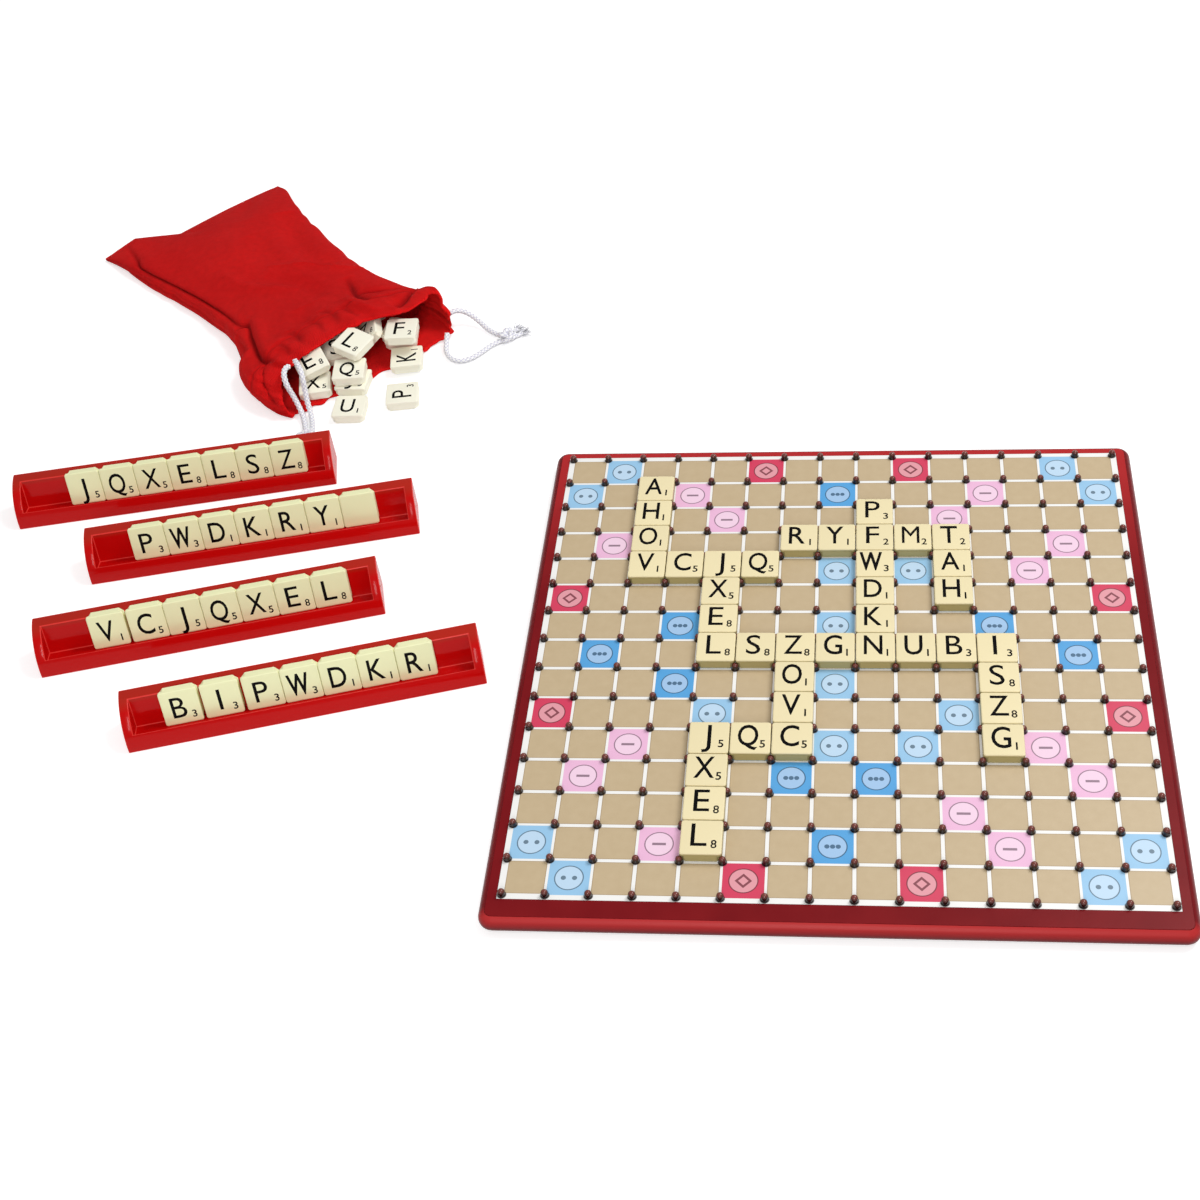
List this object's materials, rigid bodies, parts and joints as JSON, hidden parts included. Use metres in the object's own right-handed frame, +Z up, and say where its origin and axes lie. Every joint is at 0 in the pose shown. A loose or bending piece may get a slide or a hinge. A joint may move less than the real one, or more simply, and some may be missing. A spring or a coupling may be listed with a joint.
{
  "type": "travel word tile game set",
  "caption": "Peg-lock board with letter tiles pressed between its pegs, arched tile racks with tiles in them, and a cotton drawstring bag that spills tiles.",
  "frame": {"origin": "under the middle of the board, on the table that everything stands on", "axes": "+X to the board's right and +Y away from the player, parallel to its sides; +Z up"},
  "size_m": [0.5358, 0.5094, 0.0225],
  "materials": {
    "red_tray": "moulded, soft gloss",
    "brown_plate": "moulded",
    "brown_pegs": "moulded, glossy",
    "printed_card": "printed and varnished",
    "dark_frame": "moulded, soft gloss",
    "board_tile_plastic": "moulded, satin",
    "tile_plastic": "moulded, satin",
    "red_rack": "moulded, glossy",
    "red_cotton": "plain woven cotton",
    "white_cord": "braided cord"
  },
  "bodies": {
    "board": {"base_tray": "red_tray", "peg_plate": "brown_plate", "pegs": "brown_pegs", "play_sheet": "printed_card", "rim_frame": "dark_frame"},
    "run_1": {"board_tiles_1": "board_tile_plastic"},
    "run_2": {"board_tiles_2": "board_tile_plastic"},
    "run_3": {"board_tiles_3": "board_tile_plastic"},
    "run_4": {"board_tiles_4": "board_tile_plastic"},
    "run_5": {"board_tiles_5": "board_tile_plastic"},
    "run_6": {"board_tiles_6": "board_tile_plastic"},
    "run_7": {"board_tiles_7": "board_tile_plastic"},
    "run_8": {"board_tiles_8": "board_tile_plastic"},
    "run_9": {"board_tiles_9": "board_tile_plastic"},
    "run_10": {"board_tiles_10": "board_tile_plastic"},
    "run_11": {"board_tiles_11": "board_tile_plastic"},
    "rack_1": {"rack_1": "red_rack"},
    "rack_1_tile_1": {"rack_1_tile_1": "tile_plastic"},
    "rack_1_tile_2": {"rack_1_tile_2": "tile_plastic"},
    "rack_1_tile_3": {"rack_1_tile_3": "tile_plastic"},
    "rack_1_tile_4": {"rack_1_tile_4": "tile_plastic"},
    "rack_1_tile_5": {"rack_1_tile_5": "tile_plastic"},
    "rack_1_tile_6": {"rack_1_tile_6": "tile_plastic"},
    "rack_1_tile_7": {"rack_1_tile_7": "tile_plastic"},
    "rack_2": {"rack_2": "red_rack"},
    "rack_2_tile_1": {"rack_2_tile_1": "tile_plastic"},
    "rack_2_tile_2": {"rack_2_tile_2": "tile_plastic"},
    "rack_2_tile_3": {"rack_2_tile_3": "tile_plastic"},
    "rack_2_tile_4": {"rack_2_tile_4": "tile_plastic"},
    "rack_2_tile_5": {"rack_2_tile_5": "tile_plastic"},
    "rack_2_tile_6": {"rack_2_tile_6": "tile_plastic"},
    "rack_2_tile_7": {"rack_2_tile_7": "tile_plastic"},
    "rack_3": {"rack_3": "red_rack"},
    "rack_3_tile_1": {"rack_3_tile_1": "tile_plastic"},
    "rack_3_tile_2": {"rack_3_tile_2": "tile_plastic"},
    "rack_3_tile_3": {"rack_3_tile_3": "tile_plastic"},
    "rack_3_tile_4": {"rack_3_tile_4": "tile_plastic"},
    "rack_3_tile_5": {"rack_3_tile_5": "tile_plastic"},
    "rack_3_tile_6": {"rack_3_tile_6": "tile_plastic"},
    "rack_3_tile_7": {"rack_3_tile_7": "tile_plastic"},
    "rack_4": {"rack_4": "red_rack"},
    "rack_4_tile_1": {"rack_4_tile_1": "tile_plastic"},
    "rack_4_tile_2": {"rack_4_tile_2": "tile_plastic"},
    "rack_4_tile_3": {"rack_4_tile_3": "tile_plastic"},
    "rack_4_tile_4": {"rack_4_tile_4": "tile_plastic"},
    "rack_4_tile_5": {"rack_4_tile_5": "tile_plastic"},
    "rack_4_tile_6": {"rack_4_tile_6": "tile_plastic"},
    "rack_4_tile_7": {"rack_4_tile_7": "tile_plastic"},
    "bag": {"bag": "red_cotton", "bag_tiles": "tile_plastic", "right_drawstring": "white_cord", "right_knot": "white_cord", "left_drawstring": "white_cord", "left_knot": "white_cord"},
    "spilled_1": {"spilled_tile_1": "tile_plastic"},
    "spilled_2": {"spilled_tile_2": "tile_plastic"},
    "spilled_3": {"spilled_tile_3": "tile_plastic"},
    "spilled_4": {"spilled_tile_4": "tile_plastic"}
  },
  "joints": [
    {"name": "run_1_lift", "type": "slide", "parent": "board", "child": "run_1", "axis": [0, 0, 1], "range_m": [0, 0.03]},
    {"name": "run_2_lift", "type": "slide", "parent": "board", "child": "run_2", "axis": [0, 0, 1], "range_m": [0, 0.03]},
    {"name": "run_3_lift", "type": "slide", "parent": "board", "child": "run_3", "axis": [0, 0, 1], "range_m": [0, 0.03]},
    {"name": "run_4_lift", "type": "slide", "parent": "board", "child": "run_4", "axis": [0, 0, 1], "range_m": [0, 0.03]},
    {"name": "run_5_lift", "type": "slide", "parent": "board", "child": "run_5", "axis": [0, 0, 1], "range_m": [0, 0.03]},
    {"name": "run_6_lift", "type": "slide", "parent": "board", "child": "run_6", "axis": [0, 0, 1], "range_m": [0, 0.03]},
    {"name": "run_7_lift", "type": "slide", "parent": "board", "child": "run_7", "axis": [0, 0, 1], "range_m": [0, 0.03]},
    {"name": "run_8_lift", "type": "slide", "parent": "board", "child": "run_8", "axis": [0, 0, 1], "range_m": [0, 0.03]},
    {"name": "run_9_lift", "type": "slide", "parent": "board", "child": "run_9", "axis": [0, 0, 1], "range_m": [0, 0.03]},
    {"name": "run_10_lift", "type": "slide", "parent": "board", "child": "run_10", "axis": [0, 0, 1], "range_m": [0, 0.03]},
    {"name": "run_11_lift", "type": "slide", "parent": "board", "child": "run_11", "axis": [0, 0, 1], "range_m": [0, 0.03]},
    {"name": "rack_1_lift", "type": "slide", "parent": "board", "child": "rack_1", "axis": [0, 0, 1], "range_m": [0, 0.1]},
    {"name": "rack_1_tile_1_out", "type": "slide", "parent": "rack_1", "child": "rack_1_tile_1", "axis": [-0.0571, 0.2782, 0.9588], "range_m": [0, 0.03]},
    {"name": "rack_1_tile_2_out", "type": "slide", "parent": "rack_1", "child": "rack_1_tile_2", "axis": [-0.0571, 0.2782, 0.9588], "range_m": [0, 0.03]},
    {"name": "rack_1_tile_3_out", "type": "slide", "parent": "rack_1", "child": "rack_1_tile_3", "axis": [-0.0571, 0.2782, 0.9588], "range_m": [0, 0.03]},
    {"name": "rack_1_tile_4_out", "type": "slide", "parent": "rack_1", "child": "rack_1_tile_4", "axis": [-0.0571, 0.2782, 0.9588], "range_m": [0, 0.03]},
    {"name": "rack_1_tile_5_out", "type": "slide", "parent": "rack_1", "child": "rack_1_tile_5", "axis": [-0.0571, 0.2782, 0.9588], "range_m": [0, 0.03]},
    {"name": "rack_1_tile_6_out", "type": "slide", "parent": "rack_1", "child": "rack_1_tile_6", "axis": [-0.0571, 0.2782, 0.9588], "range_m": [0, 0.03]},
    {"name": "rack_1_tile_7_out", "type": "slide", "parent": "rack_1", "child": "rack_1_tile_7", "axis": [-0.0571, 0.2782, 0.9588], "range_m": [0, 0.03]},
    {"name": "rack_2_lift", "type": "slide", "parent": "board", "child": "rack_2", "axis": [0, 0, 1], "range_m": [0, 0.1]},
    {"name": "rack_2_tile_1_out", "type": "slide", "parent": "rack_2", "child": "rack_2_tile_1", "axis": [-0.062, 0.2772, 0.9588], "range_m": [0, 0.03]},
    {"name": "rack_2_tile_2_out", "type": "slide", "parent": "rack_2", "child": "rack_2_tile_2", "axis": [-0.062, 0.2772, 0.9588], "range_m": [0, 0.03]},
    {"name": "rack_2_tile_3_out", "type": "slide", "parent": "rack_2", "child": "rack_2_tile_3", "axis": [-0.062, 0.2772, 0.9588], "range_m": [0, 0.03]},
    {"name": "rack_2_tile_4_out", "type": "slide", "parent": "rack_2", "child": "rack_2_tile_4", "axis": [-0.062, 0.2772, 0.9588], "range_m": [0, 0.03]},
    {"name": "rack_2_tile_5_out", "type": "slide", "parent": "rack_2", "child": "rack_2_tile_5", "axis": [-0.062, 0.2772, 0.9588], "range_m": [0, 0.03]},
    {"name": "rack_2_tile_6_out", "type": "slide", "parent": "rack_2", "child": "rack_2_tile_6", "axis": [-0.062, 0.2772, 0.9588], "range_m": [0, 0.03]},
    {"name": "rack_2_tile_7_out", "type": "slide", "parent": "rack_2", "child": "rack_2_tile_7", "axis": [-0.062, 0.2772, 0.9588], "range_m": [0, 0.03]},
    {"name": "rack_3_lift", "type": "slide", "parent": "board", "child": "rack_3", "axis": [0, 0, 1], "range_m": [0, 0.1]},
    {"name": "rack_3_tile_1_out", "type": "slide", "parent": "rack_3", "child": "rack_3_tile_1", "axis": [-0.073, 0.2745, 0.9588], "range_m": [0, 0.03]},
    {"name": "rack_3_tile_2_out", "type": "slide", "parent": "rack_3", "child": "rack_3_tile_2", "axis": [-0.073, 0.2745, 0.9588], "range_m": [0, 0.03]},
    {"name": "rack_3_tile_3_out", "type": "slide", "parent": "rack_3", "child": "rack_3_tile_3", "axis": [-0.073, 0.2745, 0.9588], "range_m": [0, 0.03]},
    {"name": "rack_3_tile_4_out", "type": "slide", "parent": "rack_3", "child": "rack_3_tile_4", "axis": [-0.073, 0.2745, 0.9588], "range_m": [0, 0.03]},
    {"name": "rack_3_tile_5_out", "type": "slide", "parent": "rack_3", "child": "rack_3_tile_5", "axis": [-0.073, 0.2745, 0.9588], "range_m": [0, 0.03]},
    {"name": "rack_3_tile_6_out", "type": "slide", "parent": "rack_3", "child": "rack_3_tile_6", "axis": [-0.073, 0.2745, 0.9588], "range_m": [0, 0.03]},
    {"name": "rack_3_tile_7_out", "type": "slide", "parent": "rack_3", "child": "rack_3_tile_7", "axis": [-0.073, 0.2745, 0.9588], "range_m": [0, 0.03]},
    {"name": "rack_4_lift", "type": "slide", "parent": "board", "child": "rack_4", "axis": [0, 0, 1], "range_m": [0, 0.1]},
    {"name": "rack_4_tile_1_out", "type": "slide", "parent": "rack_4", "child": "rack_4_tile_1", "axis": [-0.0749, 0.2739, 0.9588], "range_m": [0, 0.03]},
    {"name": "rack_4_tile_2_out", "type": "slide", "parent": "rack_4", "child": "rack_4_tile_2", "axis": [-0.0749, 0.2739, 0.9588], "range_m": [0, 0.03]},
    {"name": "rack_4_tile_3_out", "type": "slide", "parent": "rack_4", "child": "rack_4_tile_3", "axis": [-0.0749, 0.2739, 0.9588], "range_m": [0, 0.03]},
    {"name": "rack_4_tile_4_out", "type": "slide", "parent": "rack_4", "child": "rack_4_tile_4", "axis": [-0.0749, 0.2739, 0.9588], "range_m": [0, 0.03]},
    {"name": "rack_4_tile_5_out", "type": "slide", "parent": "rack_4", "child": "rack_4_tile_5", "axis": [-0.0749, 0.2739, 0.9588], "range_m": [0, 0.03]},
    {"name": "rack_4_tile_6_out", "type": "slide", "parent": "rack_4", "child": "rack_4_tile_6", "axis": [-0.0749, 0.2739, 0.9588], "range_m": [0, 0.03]},
    {"name": "rack_4_tile_7_out", "type": "slide", "parent": "rack_4", "child": "rack_4_tile_7", "axis": [-0.0749, 0.2739, 0.9588], "range_m": [0, 0.03]},
    {"name": "bag_lift", "type": "slide", "parent": "board", "child": "bag", "axis": [0, 0, 1], "range_m": [0, 0.1]},
    {"name": "spilled_1_lift", "type": "slide", "parent": "board", "child": "spilled_1", "axis": [0, 0, 1], "range_m": [0, 0.05]},
    {"name": "spilled_2_lift", "type": "slide", "parent": "board", "child": "spilled_2", "axis": [0, 0, 1], "range_m": [0, 0.05]},
    {"name": "spilled_3_out", "type": "slide", "parent": "bag", "child": "spilled_3", "axis": [0.6717, -0.7408, 0], "range_m": [0, 0.006]},
    {"name": "spilled_4_out", "type": "slide", "parent": "bag", "child": "spilled_4", "axis": [0.6717, -0.7408, 0], "range_m": [0, 0.03]}
  ]
}
